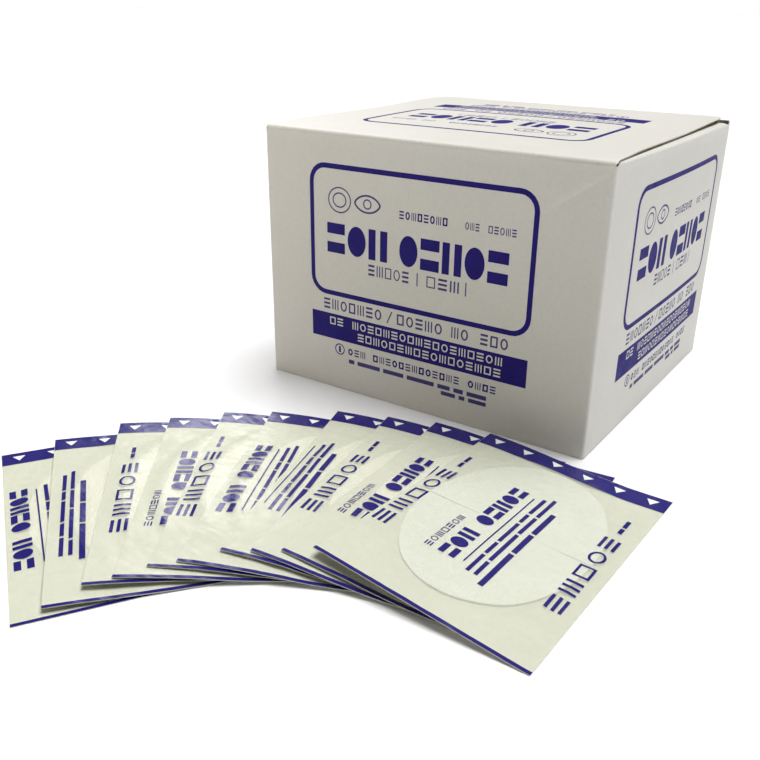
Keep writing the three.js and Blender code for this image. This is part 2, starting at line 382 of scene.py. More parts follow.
def carton_art():
    """Solid ink and fine ink of one printed face. The words are abstract marks."""
    border = 2.0
    heavy = [rounded(ART_LEFT, 41, ART_RIGHT, 94, 7.5),
             rounded(ART_LEFT + border, 43, ART_RIGHT - border, 92, 7.5 - border)]
    heavy += marks("sdp", 31, 59, 60, 71, gap=0.13)
    heavy += marks("dspds", 65.5, 59, 111.4, 71, gap=0.13)
    heavy += marks("lrtflrtf", 65.2, 76.9, 86, 79.9, stroke=0.6)
    heavy += [rectangle(ART_LEFT, 22, ART_RIGHT, 33)]
    heavy += marks("fl trlftlrftlfrltflrt", 31.8, 28.3, 111.4, 31.6, stroke=0.55)
    heavy += marks("lftrfltflrtfrltfl", 46, 23.6, 111, 26.9, stroke=0.55)
    heavy += [oval(36.7, 18, 2.5, 2.5, 28), oval(36.7, 18, 2.0, 2.0, 28), rectangle(36.2, 16.6, 37.2, 19.4)]
    heavy += marks("rlt ftlrfltfrlftl rtfl", 41, 16.4, 109.5, 19.4, stroke=0.7)
    fine = pictogram(31, 75.2, 10.2)
    fine += marks("rtl", 93.3, 76.9, 99, 79.6, stroke=0.4)
    fine += marks("flrtl", 102.6, 76.9, 113.5, 79.6, stroke=0.4)
    fine += marks("ltfrl", 51.2, 52.6, 70, 57, stroke=0.5)
    fine += marks("flt", 78, 52.6, 92, 57, stroke=0.5)
    fine += [rectangle(73.6, 52.2, 74.1, 57.4), rectangle(94.6, 52.2, 95.1, 57.4)]
    fine += marks("ltrftlr", 28.8, 34.9, 57.6, 39.3, stroke=0.7)
    fine += [[(60.0, 34.6), (60.6, 34.6), (62.9, 39.6), (62.3, 39.6)]]
    fine += marks("frltr", 65, 34.9, 85.5, 39.3, stroke=0.7)
    fine += marks("tr lfr", 89.6, 34.9, 113.3, 39.3, stroke=0.7)
    fine += bars([2, 8, 7, 9, 4, 3, 6], 41.3, 12.7, 105.8, 14.5, gap=1.6)
    fine += bars([5, 2, 6], 86, 10.2, 105.8, 11.9, gap=1.6)
    return [(INK, shape) for shape in heavy] + [(FINE_INK, shape) for shape in fine]


def moved(art, right=0.0, up=0.0, turned=False):
    """Artwork shifted, and turned half round about the origin first if asked."""
    sign = -1 if turned else 1
    return [(ink, [(right + sign * x, up + sign * y) for x, y in shape]) for ink, shape in art]


# ---- Closed thin meshes ----


ART_STEP = 2.5  # between points on an artwork's edge, so that it follows a bent surface


def triangulate(outline, art, grid, regions=()):
    """Cuts the flat outline, its artwork and its regions into triangles.

    Gives the points, the triangles, each triangle's ink, and for each region whether the triangles lie in it.
    """
    points, faces = [], []
    for shape in [outline] + [densified(shape, ART_STEP) for _, shape in art] + list(regions):
        faces.append(list(range(len(points), len(points) + len(shape))))
        points += [Vector(p) for p in shape]
    points += [Vector(p) for p in grid]
    flat, _, triangles, _, _, owners = delaunay_2d_cdt(points, [], faces, 0, 1e-4, True)
    kept, inks, held = [], [], []
    for corners, owner in zip(triangles, owners):
        if 0 not in owner:
            continue
        over = [k for k in owner if 0 < k <= len(art)]
        kept.append(corners)
        inks.append(art[max(over) - 1][0] if len(over) % 2 else None)
        held.append([k in owner for k in range(len(art) + 1, len(faces))])
    flat = np.array([tuple(p) for p in flat])
    kept = np.array(kept)
    used, kept = np.unique(kept, return_inverse=True)
    return flat[used], kept.reshape(-1, 3), inks, np.array(held).T


def part_of(cut, held):
    """The triangles of a cut that held picks, with only the points they use."""
    flat, triangles, inks = cut[:3]
    used, kept = np.unique(triangles[held], return_inverse=True)
    return flat[used], kept.reshape(-1, 3), [ink for ink, pick in zip(inks, held) if pick]


def lattice(us, vs):
    return [(u, v) for u in us for v in vs]


def inside_outline(points, outline):
    """The points that lie in the outline."""
    points, poly = np.array(points), np.array(outline)
    x, y = points[:, 0], points[:, 1]
    hit = np.zeros(len(points), bool)
    for (x1, y1), (x2, y2) in zip(poly, np.roll(poly, -1, axis=0)):
        crosses = (y1 > y) != (y2 > y)
        with np.errstate(divide="ignore", invalid="ignore"):
            hit ^= crosses & (x < (x2 - x1) * (y - y1) / (y2 - y1) + x1)
    return [tuple(p) for p in points[hit]]


def densified(outline, step, columns=()):
    """The outline with extra points on its long edges, and on its level edges at the columns instead."""
    result = []
    for (x1, y1), (x2, y2) in zip(outline, outline[1:] + outline[:1]):
        parts = max(1, int(math.hypot(x2 - x1, y2 - y1) / step))
        shares = np.arange(1, parts) / parts
        if y1 == y2 and len(columns):
            shares = np.sort((np.unique(columns) - x1) / (x2 - x1))
            shares = shares[(shares > 0.001) & (shares < 0.999)]
        result += [(x1, y1)] + [(x1 + (x2 - x1) * share, y1 + (y2 - y1) * share) for share in shares]
    return result


def vertex_normals(points, triangles):
    a, b, c = (points[triangles[:, i]] for i in range(3))
    flat = np.cross(b - a, c - a)
    normals = np.zeros_like(points)
    for i in range(3):
        np.add.at(normals, triangles[:, i], flat)
    return normals / np.maximum(np.linalg.norm(normals, axis=1, keepdims=True), 1e-12)


def rim_edges(triangles):
    """Directed edges that only one triangle has."""
    edges = {}
    for tri in triangles:
        for i in range(3):
            edges[(tri[i], tri[(i + 1) % 3])] = True
    return [edge for edge in edges if (edge[1], edge[0]) not in edges]


def add_mesh(name, points, faces, materials, face_materials, sharp=(), wear=None):
    """A mesh object from points in millimetres. sharp holds the edges that aren't shaded smooth."""
    mesh = bpy.data.meshes.new(name)
    mesh.from_pydata((np.array(points) * MM).tolist(), [], [list(map(int, f)) for f in faces])
    for material in materials:
        mesh.materials.append(material)
    mesh.polygons.foreach_set("material_index", face_materials)
    mesh.polygons.foreach_set("use_smooth", [True] * len(mesh.polygons))
    if len(sharp):
        wanted = {frozenset(map(int, edge)) for edge in sharp}
        flags = [frozenset(edge.vertices) in wanted for edge in mesh.edges]
        mesh.attributes.new("sharp_edge", "BOOLEAN", "EDGE").data.foreach_set("value", flags)
    if wear is not None:
        mesh.attributes.new("wear", "FLOAT", "POINT").data.foreach_set("value", wear.astype(np.float32))
    mesh.update()
    piece = bpy.data.objects.new(name, mesh)
    bpy.context.scene.collection.objects.link(piece)
    return piece


def thin_solid(name, flat, triangles, inks, outer, inner, ground, back, wear=None):
    """Closes a triangulated sheet between its outer and inner surface. inks colour the outer side only."""
    materials = [ground, back] + sorted({ink for ink in inks if ink}, key=lambda m: m.name)
    count = len(flat)
    faces = [tuple(t) for t in triangles] + [tuple(t[::-1] + count) for t in triangles]
    slots = [materials.index(ink) if ink else 0 for ink in inks] + [1] * len(triangles)
    rim = rim_edges(triangles)
    for a, b in rim:
        faces.append((b, a, a + count, b + count))
        slots.append(1)
    sharp = rim + [(a + count, b + count) for a, b in rim]
    if wear is not None:
        wear = np.concatenate([wear, np.zeros(count)])
    points = np.concatenate([outer, inner])
    return add_mesh(name, points, faces, materials, slots, sharp, wear)


def board_piece(name, outline, art, grid, place, wear_of, by_columns=True, mirrored=False):
    """A board whose outer face is place(u, v). mirrored says that place turns the sheet over."""
    outline = densified(outline, 4.0, [u for u, _ in grid] if by_columns else ())
    flat, triangles, inks = triangulate(outline, art, inside_outline(grid, outline))[:3]
    if mirrored:
        triangles = triangles[:, ::-1]
    outer = place(flat[:, 0], flat[:, 1])
    inner = outer - SKIN * vertex_normals(outer, triangles)
    wear = wear_of(flat[:, 0], flat[:, 1])
    return thin_solid(name, flat, triangles, inks, outer, inner, BOARD_FACE, BOARD_INNER, wear)


def near(values, lines, reach):
    """1 on any of the lines, fading to 0 over the reach."""
    distance = np.min([np.abs(values - line) for line in lines], axis=0)
    return np.exp(-distance / reach)


# ---- Carton sleeve ----

CORNER = 1.2  # outer radius of an upright crease
CREASE = 0.6  # outer radius of a small flap's crease
LID_CREASE = 1.3  # outer radius of the lid's crease
FOOT = 0.42  # radius of the walls' lower edge
FLAP_TOP = flap_high[2] - 0.05
SIDE_TOP = FLAP_TOP - CREASE - 0.35
FRONT_TOP = FACE_HEIGHT - LID_CREASE - 0.3
BACK_TOP = back_high[2]
BOW = {"front": 0.5, "right": 1.5, "back": 0.9, "left": 1.3}  # how far each wall bulges


def side_profile(z):
    """How far a side wall bows out at each height: most near its top, where only the dust flap ties it."""
    return np.sin(0.62 * math.pi * np.clip(z / FACE_HEIGHT, 0, 1))


def side_bow(name, y, z):
    along = np.clip((y - FRONT) / DEPTH, 0, 1)
    return BOW[name] * np.sin(math.pi * along ** 1.25) * side_profile(z)


def sleeve_path():
    """The outside of the walls from above, from the seam at the left back corner, anticlockwise."""
    x, y, r = HALF_WIDTH, DEPTH / 2, CORNER
    corners = [(-x, -y, 180), (x, -y, 270), (x, y, 0)]
    path = [(-x, y - 0.02, -1, 0)]
    for cx, cy, start in corners:
        centre = (cx - math.copysign(r, cx), cy - math.copysign(r, cy))
        for i in range(7):
            angle = math.radians(start + 15 * i)
            c, s = math.cos(angle), math.sin(angle)
            path.append((centre[0] + r * c, centre[1] + r * s, c, s))
    path.append((-x + BOARD + 0.08, y, 0, 1))
    path = np.array(path)
    path[:, 1] += (FRONT + BACK) / 2
    steps = np.hypot(*np.diff(path[:, :2], axis=0).T)
    return np.concatenate([[0], np.cumsum(steps)]), path


PATH_LENGTH, PATH = sleeve_path()
LEFT_END, FRONT_START, FRONT_END = PATH_LENGTH[1], PATH_LENGTH[7], PATH_LENGTH[8]
RIGHT_START, RIGHT_END = PATH_LENGTH[14], PATH_LENGTH[15]
BACK_START, SEAM = PATH_LENGTH[21], PATH_LENGTH[-1]
CORNERS = [(LEFT_END + FRONT_START) / 2, (FRONT_END + RIGHT_START) / 2, (RIGHT_END + BACK_START) / 2]


DENT_START, DENT_END = np.array([122.0, 86.0]), np.array([145.5, 103.0])  # the kink on the front wall
DENT_ABOVE, DENT_BELOW = (0.5, 2.6), (0.55, 5.0)  # the bulge on each side: height, distance of its crest


def dent_place(x, z):
    """How far a place on the front wall is over the kink's line, and how strong the kink is there."""
    run = DENT_END - DENT_START
    share = ((x - DENT_START[0]) * run[0] + (z - DENT_START[1]) * run[1]) / (run @ run)
    away = ((z - DENT_START[1]) * run[0] - (x - DENT_START[0]) * run[1]) / np.linalg.norm(run)
    return away, np.sin(math.pi * np.clip(share, 0, 1)) ** 0.7


def corner_dent(x, z):
    """A kink that runs down from the front wall's upper right corner: a valley between two bulges."""
    away, fade = dent_place(x, z)
    bulge, crest = (np.where(away > 0, above, below) for above, below in zip(DENT_ABOVE, DENT_BELOW))
    reach = np.abs(away) / crest
    return fade * bulge * reach * np.exp(1 - reach)


def place_on_sleeve(along, z):
    x, y, nx, ny = (np.interp(along, PATH_LENGTH, PATH[:, i]) for i in range(4))
    out = np.zeros_like(along)
    on_front = (along > FRONT_START) & (along < FRONT_END)
    on_right = (along > RIGHT_START) & (along < RIGHT_END)
    on_back = along > BACK_START
    on_left = along < LEFT_END
    rise = np.sin(math.pi * np.clip(z / FACE_HEIGHT, 0, 1))
    face_x = along - FRONT_START + CORNER
    out += on_front * (BOW["front"] * np.sin(math.pi * face_x / WIDTH) * rise + corner_dent(face_x, z))
    out += on_right * side_bow("right", y, z)
    out += on_left * side_bow("left", y, z)
    out += on_back * BOW["back"] * np.sin(math.pi * (along - BACK_START) / (SEAM - BACK_START)) * rise
    under = np.clip(FOOT - z, 0, FOOT)
    out -= FOOT - np.sqrt(FOOT**2 - under**2)
    return np.stack([x + nx * out, y + ny * out, z], axis=1)


def make_sleeve():
    tops = [(0, SIDE_TOP), (CORNERS[0], FRONT_TOP), (CORNERS[1], SIDE_TOP), (CORNERS[2], BACK_TOP)]
    ends = [CORNERS[0], CORNERS[1], CORNERS[2], SEAM]
    outline = [(0, 0), (SEAM, 0)]
    for (start, top), end in zip(tops[::-1], ends[::-1]):
        outline += [(end, top), (start, top)]
    turns = np.concatenate([PATH_LENGTH[1:8], PATH_LENGTH[8:15], PATH_LENGTH[15:22]])
    spans = [(0, LEFT_END, 26), (FRONT_START, FRONT_END, 44), (RIGHT_START, RIGHT_END, 34),
             (BACK_START, SEAM, 28)]
    alongs = np.concatenate([turns] + [np.linspace(a, b, n)[1:-1] for a, b, n in spans])
    heights = np.concatenate([[0.1, 0.22, 0.42], np.linspace(4, FRONT_TOP - 0.5, 30)])
    art = []
    for panel_start in (FRONT_START - CORNER, RIGHT_START - CORNER + SIDE_ART_SHIFT, BACK_START - CORNER,
                        SIDE_ART_SHIFT):
        art += moved(carton_art(), panel_start)

    def wear_of(along, z):
        away, fade = dent_place(along - FRONT_START + CORNER, z)
        lines = [near(along, CORNERS + [0.0, SEAM], 0.7), near(z, [0.0], 0.6),
                 near(z, [SIDE_TOP, FRONT_TOP], 0.8), 1.6 * fade * near(away, [0.0], 0.45)]
        return np.max(lines, axis=0)

    dented = lattice(FRONT_START - CORNER + np.arange(118, 144, 1.0), np.arange(78, FRONT_TOP - 1, 1.0))
    valley = [(FRONT_START - CORNER + x, z) for x, z in np.linspace(DENT_START, DENT_END, 36)[1:-3]]
    grid = lattice(alongs, heights) + dented + valley
    sleeve = board_piece("carton_sleeve", outline, art, grid, place_on_sleeve, wear_of)
    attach(sleeve, "carton")
    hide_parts("front_wall", "right_wall", "back_wall", "left_wall")


# ---- Lid, tuck flap and dust flaps ----

LID_RISE = math.asin((lid_high[2] - HINGE_HEIGHT - BOARD) / (lid_high[1] - FRONT))
LID_CROWN, LID_WAVE = 0.9, 0.35  # how far the lid arches, and how far its sides curl up and down
TUCK_SLANT = math.radians(10)
TUCK_CORNER = 9.0


def arc_path(distance, straight, radius, turn):
    """Up a straight and round a crease: the angle turned, the run past the crease and the run before it."""
    arc = radius * turn
    angle = np.clip((distance - straight) / radius, 0, turn)
    return angle, np.clip(distance - straight - arc, 0, None), np.clip(distance, None, straight)


def place_on_lid(x, run):
    """run starts on the front wall under the crease and goes over it and back along the lid."""
    straight = FACE_HEIGHT - LID_CREASE - FRONT_TOP
    angle, flat, up = arc_path(run, straight, LID_CREASE, math.pi / 2)
    y = FRONT + LID_CREASE * (1 - np.cos(angle)) + flat * math.cos(LID_RISE)
    crown = LID_CROWN * np.sin(math.pi * np.clip(flat / LID_LENGTH, 0, 1))
    crown *= np.cos(0.5 * math.pi * x / HALF_WIDTH) ** 0.6
    lift = LID_WAVE * np.sin(2.3 * math.pi * flat / LID_LENGTH + 0.6) * (np.abs(x) / HALF_WIDTH) ** 3
    lift *= np.clip(flat / 20, 0, 1) * np.clip((LID_LENGTH - flat) / 20, 0, 1)
    z = FRONT_TOP + up + LID_CREASE * np.sin(angle) + flat * math.sin(LID_RISE) + crown + lift
    return np.stack([x, y, z], axis=1)


LID_START = FACE_HEIGHT - LID_CREASE - FRONT_TOP + LID_CREASE * math.pi / 2
LID_LENGTH = lid_high[1] - FRONT - LID_CREASE - 0.15
LID_HALF = HALF_WIDTH - 0.35
LID_BACK_HALF = lid_high[0] - 4.2


def make_lid():
    end = LID_START + LID_LENGTH
    half, back_half = LID_HALF, LID_BACK_HALF
    taper = half - 1.9
    outline = [(0.12 - half, 0), (half - 0.12, 0), (half, LID_START + 2), (taper, end - 11),
               (taper - 0.5, end - 5), (back_half, end), (-back_half, end), (0.5 - taper, end - 5),
               (-taper, end - 11), (-half, LID_START + 2)]
    xs = np.concatenate([[0.4 - half, half - 0.4], np.linspace(1.5 - half, half - 1.5, 40)])
    crease = [LID_START - LID_CREASE * math.pi / 2 * share
              for share in (1, 0.86, 0.72, 0.57, 0.43, 0.29, 0.14, 0)]
    runs = np.concatenate([crease, np.linspace(LID_START + 2, end - 1.5, 36)])
    art = moved(carton_art(), HALF_WIDTH, LID_START - LID_CREASE + 122, turned=True)

    def wear_of(x, run):
        sides = near(np.abs(x), [half], 0.6)
        fold = near(run, [LID_START - LID_CREASE * math.pi / 4, end], 0.9)
        return np.maximum(sides * 0.8, fold)

    lid = board_piece("lid_board", outline, art, lattice(xs, runs), place_on_lid, wear_of)
    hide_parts("lid_panel")
    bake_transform(lid)


def place_on_tuck(x, run):
    """run starts at the lid's far edge and goes down behind the packs."""
    turn = math.pi / 2 + TUCK_SLANT
    angle, flat, _ = arc_path(run, 0, CREASE, turn)
    ahead = LID_LENGTH + LID_CREASE + CREASE * np.sin(angle) + flat * math.cos(turn)
    rise = CREASE * (np.cos(angle) - 1) - flat * math.sin(turn)
    curl = 0.5 * (x / LID_BACK_HALF) ** 2 * np.clip(flat / 10, 0, 1)
    c, s = math.cos(LID_RISE), math.sin(LID_RISE)
    y = FRONT + ahead * c - rise * s - curl
    return np.stack([x, y, FACE_HEIGHT + ahead * s + rise * c], axis=1)


def make_tuck():
    length = tuck_high[2] - tuck_low[2]
    half, corner = LID_BACK_HALF, TUCK_CORNER
    outline = [(-half, 0), (half, 0)]
    for side, start in ((1, 0), (-1, 90)):
        for i in range(9):
            angle = math.radians(start + 90 * i / 8)
            outline.append((side * (half - corner - 1) + corner * math.cos(angle),
                            length - corner + corner * math.sin(angle)))
    xs = np.linspace(1 - half, half - 1, 30)
    turn = CREASE * (math.pi / 2 + TUCK_SLANT)
    runs = np.concatenate([np.linspace(0.15, turn, 6), np.linspace(turn + 2, length - 0.8, 8)])
    tuck = board_piece("tuck_board", outline, [], lattice(xs, runs), place_on_tuck,
                       lambda x, run: near(run, [turn / 2, length], 0.7))
    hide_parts("tuck_flap")
    top = place_on_tuck(np.array([0.0]), np.array([0.0]))[0] * MM
    bend = place_on_tuck(np.array([0.0]), np.array([turn]))[0] * MM
    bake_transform(tuck)


def make_dust_flap(side):
    """A flap that folds in from a side wall's top edge. side is 1 on the right and -1 on the left."""
    name = "right" if side > 0 else "left"
    straight = FLAP_TOP - CREASE - SIDE_TOP
    start = straight + CREASE * math.pi / 2
    reach = flap_high[0] - flap_low[0] - CREASE
    low, high = flap_low[1], flap_high[1]

    def place(y, run):
        angle, flat, up = arc_path(run, straight, CREASE, math.pi / 2)
        bow = side_bow(name, y, np.full_like(y, SIDE_TOP)) * (1 - np.clip(flat / reach, 0, 1))
        x = HALF_WIDTH + bow - CREASE * (1 - np.cos(angle)) - flat
        z = SIDE_TOP + up + CREASE * np.sin(angle) - 0.5 * np.clip(flat / reach, 0, 1) ** 2
        return np.stack([side * x, y, z], axis=1)

    tip = start + reach
    outline = [(FRONT + CORNER / 2, 0), (BACK - CORNER / 2, 0), (high + 2, straight), (high, start + 1),
               (high - 2, tip - 6), (high - 8, tip), (low + reach + 2, tip), (low + 1, start + 1),
               (low - 1, straight)]
    ys = np.linspace(low + 2, high - 2, 30)
    runs = np.concatenate([np.linspace(straight, start, 6), np.linspace(start + 4, tip - 3, 9)])
    flap = board_piece(f"dust_board_{name}", outline, [], lattice(ys, runs), place,
                       lambda y, run: near(run, [start - 0.4, tip], 0.6), by_columns=False, mirrored=side < 0)
    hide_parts(f"dust_flap_{name}")
    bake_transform(flap)


def dress_cad_boards():
    """The bottom flaps and the glue flap keep their CAD shape and get the board's own faces."""
    for node in ("bottom_back_flap", "bottom_left_flap", "bottom_right_flap", "bottom_front_flap",
                 "glue_flap"):
        piece = frame["nodes"][node]
        piece.data.materials.clear()
        piece.data.materials.append(BOARD_INNER if node == "glue_flap" else BOARD_FACE)


# ---- Packs ----

PACK_WIDTH, PACK_HEIGHT = 70.0, 101.0
PATCH = (28.5, 41.0)  # half width and half height of the oval
SHEET, FILM_THICKNESS = 0.12, 0.08
PAD_OVAL = (20.0, 30.0)
BORDER_TOP, PATCH_TOP = 0.24, 1.03  # the film's upper side over the border and over the patch
BAND = 8.6  # height of the blue band
FOLD_HEIGHT, CROWN_HEIGHT = 0.22, 0.06  # of the film's small folds and of its arch over the patch
PATCH_LOW = SHEET + 0.03  # underside of the patch, over the pack's underside
WEB_REPEAT = 59.0  # the print comes again after this much film
PHASES = (24, 33, -3, 17, 0, 23, 32, -1, 18, 0)  # where each pack was cut from the web, lowest pack first


def print_columns():
    """The marks printed along a pack, each column as (low, high, shapes), measured across from its middle."""
    heading = marks("sdp", -25, 3.5, -9.5, 9.2, gap=0.14)
    heading += marks("dspds", -4.5, 3.5, 22, 9.2, gap=0.14)
    small = marks("lrtflrt", -25, 11.6, -5, 14.0, stroke=0.35)
    second = marks("ltfrl", -25, -30.8, 17, -25.4, gap=0.28, stroke=0.85)
    second += bars([3, 4], 21.5, -28.8, 30, -27.4, gap=0.8)
    return [
        (11.6, 14.0, small),
        (3.5, 9.2, heading),
        (0.5, 1.0, [rectangle(-24, 0.5, 20, 1.0)]),
        (-2.9, -1.6, bars([7, 5, 9, 4, 8], -27, -2.9, 22, -1.6)),
        (-5.6, -4.3, bars([4, 9, 6, 7], -27, -5.6, 24, -4.3)),
        (-9.2, -7.4, bars([8, 5, 6], -30, -9.2, 16, -7.4)),
        (-30.8, -25.4, second),
    ]


def pack_art(phase):
    """Print of one pack: a band with peel arrows, a foot line, and the columns shifted by its phase."""
    w, h = PACK_WIDTH / 2, PACK_HEIGHT / 2
    band = [rectangle(0.05 - w, h - BAND, w - 0.05, h - 0.05),
            rectangle(0.05 - w, 0.05 - h, w - 0.05, 1.3 - h)]
    arrows = [triangle(-29.2 + 11.7 * i, h - BAND / 2, 3.4) for i in range(6)]
    lines = []
    for repeat in (-WEB_REPEAT, 0, WEB_REPEAT):
        shift = phase + repeat
        for low, high, shapes in print_columns():
            if low + shift > 1.2 - w and high + shift < w - 1.2:
                lines += [[(-y - shift, x) for x, y in shape] for shape in shapes]
    return [(FILM_INK, shape) for shape in band + arrows + lines]


def film_height(u, v):
    """The film's upper side over the back sheet: a low border, a shoulder and the patch, with small folds."""
    level = np.hypot(u / PATCH[0], v / PATCH[1])
    step = np.clip((1.19 - level) / 0.16, 0, 1)
    step = step * step * (3 - 2 * step)
    turn = np.arctan2(v / PATCH[1], u / PATCH[0])
    folds = 0.5 + 0.5 * np.sin(19 * turn + 2.2 * np.sin(3 * turn))
    folds *= np.exp(-((level - 1.2) / 0.08) ** 2)
    edge = np.minimum(PACK_WIDTH / 2 - np.abs(u), PACK_HEIGHT / 2 - np.abs(v))
    folds *= np.clip(edge / 3, 0, 1)
    crown = CROWN_HEIGHT * (np.clip(1 - level**2, 0, 1) - 1)
    return BORDER_TOP + (PATCH_TOP - BORDER_TOP + crown) * step + FOLD_HEIGHT * folds


def node_points(node):
    mesh = frame["nodes"][node].data
    points = np.empty(len(mesh.vertices) * 3)
    mesh.vertices.foreach_get("co", points)
    return np.unique(points.reshape(-1, 3).round(7), axis=0) / MM


def pack_frame(label):
    """A loose pack's place from its CAD back sheet: centre of its underside, and its across, along and up."""
    points = node_points(label + "_back_sheet")
    centre = points.mean(0)
    axes = np.linalg.svd(points - centre)[2]
    along = axes[0] * np.sign(axes[0][1])
    up = axes[2] * np.sign(axes[2][2])
    return centre - up * SHEET / 2, np.cross(along, up), along, up


LABELS = sorted(node[:7] for node in frame["nodes"] if node.endswith("_back_sheet"))
FRAMES = {label: pack_frame(label) for label in LABELS}
TOP_PACK = LABELS[-1]


class Pile:
    """Heights over the table, on a square grid, of the packs laid so far."""

    CELL = 1.25
    TABLE_GAP, PACK_GAP = 0.02, 0.14
    STEPS, SAG = 260, 0.012  # of the relaxation, and how far a pack sinks in each step where nothing holds it
    FOOT_HOLD = 14  # how much of the top pack's lower end keeps its CAD plane

    def __init__(self):
        centres = np.array([place[0][:2] for place in FRAMES.values()])
        margin = math.hypot(PACK_WIDTH, PACK_HEIGHT) / 2 + 6
        self.low = centres.min(0) - margin
        shape = np.ceil((centres.max(0) + margin - self.low) / self.CELL).astype(int)
        xs, ys = (self.low[i] + np.arange(shape[i]) * self.CELL for i in range(2))
        self.x, self.y = np.meshgrid(xs, ys, indexing="ij")
        self.height = np.zeros(shape)

    def spread(self, values, mask):
        """Each cell's mean with its neighbours in the mask."""
        total, count = values * mask, mask.astype(float)
        for axis in (0, 1):
            total = total + np.roll(total, 1, axis) + np.roll(total, -1, axis)
            count = count + np.roll(count, 1, axis) + np.roll(count, -1, axis)
        return total / np.maximum(count, 1e-9)

    def lay(self, place, hold_foot):
        """Settles a pack on the pile and gives its underside's heights, good a little past its edges."""
        origin, across, along, up = place
        dx, dy = self.x - origin[0], self.y - origin[1]
        u = (dx * across[0] + dy * across[1]) / (across[0] ** 2 + across[1] ** 2)
        v = (dx * along[0] + dy * along[1]) / (along[0] ** 2 + along[1] ** 2)
        mask = (np.abs(u) < PACK_WIDTH / 2 + self.CELL) & (np.abs(v) < PACK_HEIGHT / 2 + self.CELL)
        plane = origin[2] - (up[0] * dx + up[1] * dy) / up[2]
        ridge = self.height  # each cell's highest neighbour, so that no fold between two cells pokes through
        for axis in (0, 1):
            ridge = np.maximum(ridge, np.maximum(np.roll(ridge, 1, axis), np.roll(ridge, -1, axis)))
        rest = np.where(ridge > 0, ridge + self.PACK_GAP, self.TABLE_GAP)
        held = np.clip((hold_foot - PACK_HEIGHT / 2 - v) / 10, 0, 1) if hold_foot else 0
        z = plane.copy()
        for _ in range(self.STEPS):
            z = self.spread(z, mask) - self.SAG
            z = np.maximum(z, rest) * (1 - held) + np.maximum(plane, rest) * held
            z = np.where(mask, z, plane)
        for _ in range(3):
            z = np.maximum(self.spread(z, mask), rest)
        beyond = mask.copy()
        for _ in range(4):
            grown = self.spread(z, beyond)
            wider = beyond | np.roll(beyond, 1, 0) | np.roll(beyond, -1, 0)
            wider = wider | np.roll(wider, 1, 1) | np.roll(wider, -1, 1)
            z = np.where(wider & ~beyond, grown, z)
            beyond = wider
        over = (np.abs(u) < PACK_WIDTH / 2) & (np.abs(v) < PACK_HEIGHT / 2)
        self.height = np.where(over, z + film_height(u, v), self.height)
        return z

    def sample(self, z, x, y):
        i = np.clip((x - self.low[0]) / self.CELL, 0, z.shape[0] - 1.001)
        j = np.clip((y - self.low[1]) / self.CELL, 0, z.shape[1] - 1.001)
        a, b = i.astype(int), j.astype(int)
        s, t = i - a, j - b
        near_row = z[a, b] * (1 - t) + z[a, b + 1] * t
        return near_row * (1 - s) + (z[a + 1, b] * (1 - t) + z[a + 1, b + 1] * t) * s


def settle_fan():
    """A function for each pack that takes u, v and a height over its underside to a place in the frame."""
    pile = Pile()
    settled = {}
    for label in LABELS:
        place = FRAMES[label]
        z = pile.lay(place, pile.FOOT_HOLD if label == TOP_PACK else 0)

        def draped(u, v, height, place=place, z=z):
            origin, across, along, up = place
            x = origin[0] + across[0] * u + along[0] * v
            y = origin[1] + across[1] * u + along[1] * v
            return np.stack([x, y, pile.sample(z, x, y) + height], axis=1)

        settled[label] = draped
    return settled


def half_oval(side):
    """One side of the liner, which is split across the patch's middle."""
    gap = 0.15
    ends = [(PATCH[0] * math.cos(a), side * (gap + (PATCH[1] - gap) * math.sin(a)))
            for a in np.linspace(0, math.pi, 37)]
    return ends if side > 0 else ends[::-1]


def cut_pack(phase):
    """One triangulation for all the layers of a pack, so that they don't cut through each other."""
    w, h = PACK_WIDTH / 2, PACK_HEIGHT / 2
    us = np.linspace(-w, w, 28)[1:-1]
    vs = np.linspace(-h, h, 40)[1:-1]
    grid = lattice(us, vs)
    for share in (0.6, 0.66, 0.93, 0.97, 1.04, 1.08, 1.12, 1.16, 1.2):
        ring = np.array(oval(0, 0, PATCH[0] * share, PATCH[1] * share, 96))
        grid += [tuple(p) for p in ring[(abs(ring[:, 0]) < w - 0.4) & (abs(ring[:, 1]) < h - 0.4)]]
    regions = [oval(0, 0, *PATCH, 72), oval(0, 0, *PAD_OVAL, 56), half_oval(1), half_oval(-1)]
    return triangulate(densified(rectangle(-w, -h, w, h), 3), pack_art(phase), grid, regions)


def layer(name, node, body, slot, draped, flat, triangles, low, top, material, inks=None):
    """A layer of a pack from low up to top, which are heights over the pack's underside."""
    u, v = flat.T
    inks = inks or [None] * len(triangles)
    outer, inner = draped(u, v, top), draped(u, v, low)
    piece = thin_solid(name, flat, triangles, inks, outer, inner, material, material)
    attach(piece, body)
    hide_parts(node)
    return piece


def make_back_sheet(label, draped, cut):
    layer(f"{label}_paper", f"{label}_back_sheet", label, "pouch_paper", draped, *cut[:2], 0.0, SHEET, PAPER)


def make_film(label, draped, cut):
    """The printed film. Its arrows in the band are bare, so they get their own white ground."""
    flat, triangles, inks = cut[:3]
    middle = flat[triangles].mean(1)
    in_band = middle[:, 1] > PACK_HEIGHT / 2 - BAND + 0.02
    inks = [ink or (FILM_WHITE if band else None) for ink, band in zip(inks, in_band)]
    top = film_height(*flat.T)
    body = "film" if label == TOP_PACK else label
    layer(f"{label}_film", f"{label}_front_film", body, "pouch_film", draped, flat, triangles,
          top - FILM_THICKNESS, top, FILM, inks)


def oval_share(flat, half):
    """0 in the middle of an oval and 1 on its edge."""
    return np.hypot(flat[:, 0] / half[0], flat[:, 1] / half[1])


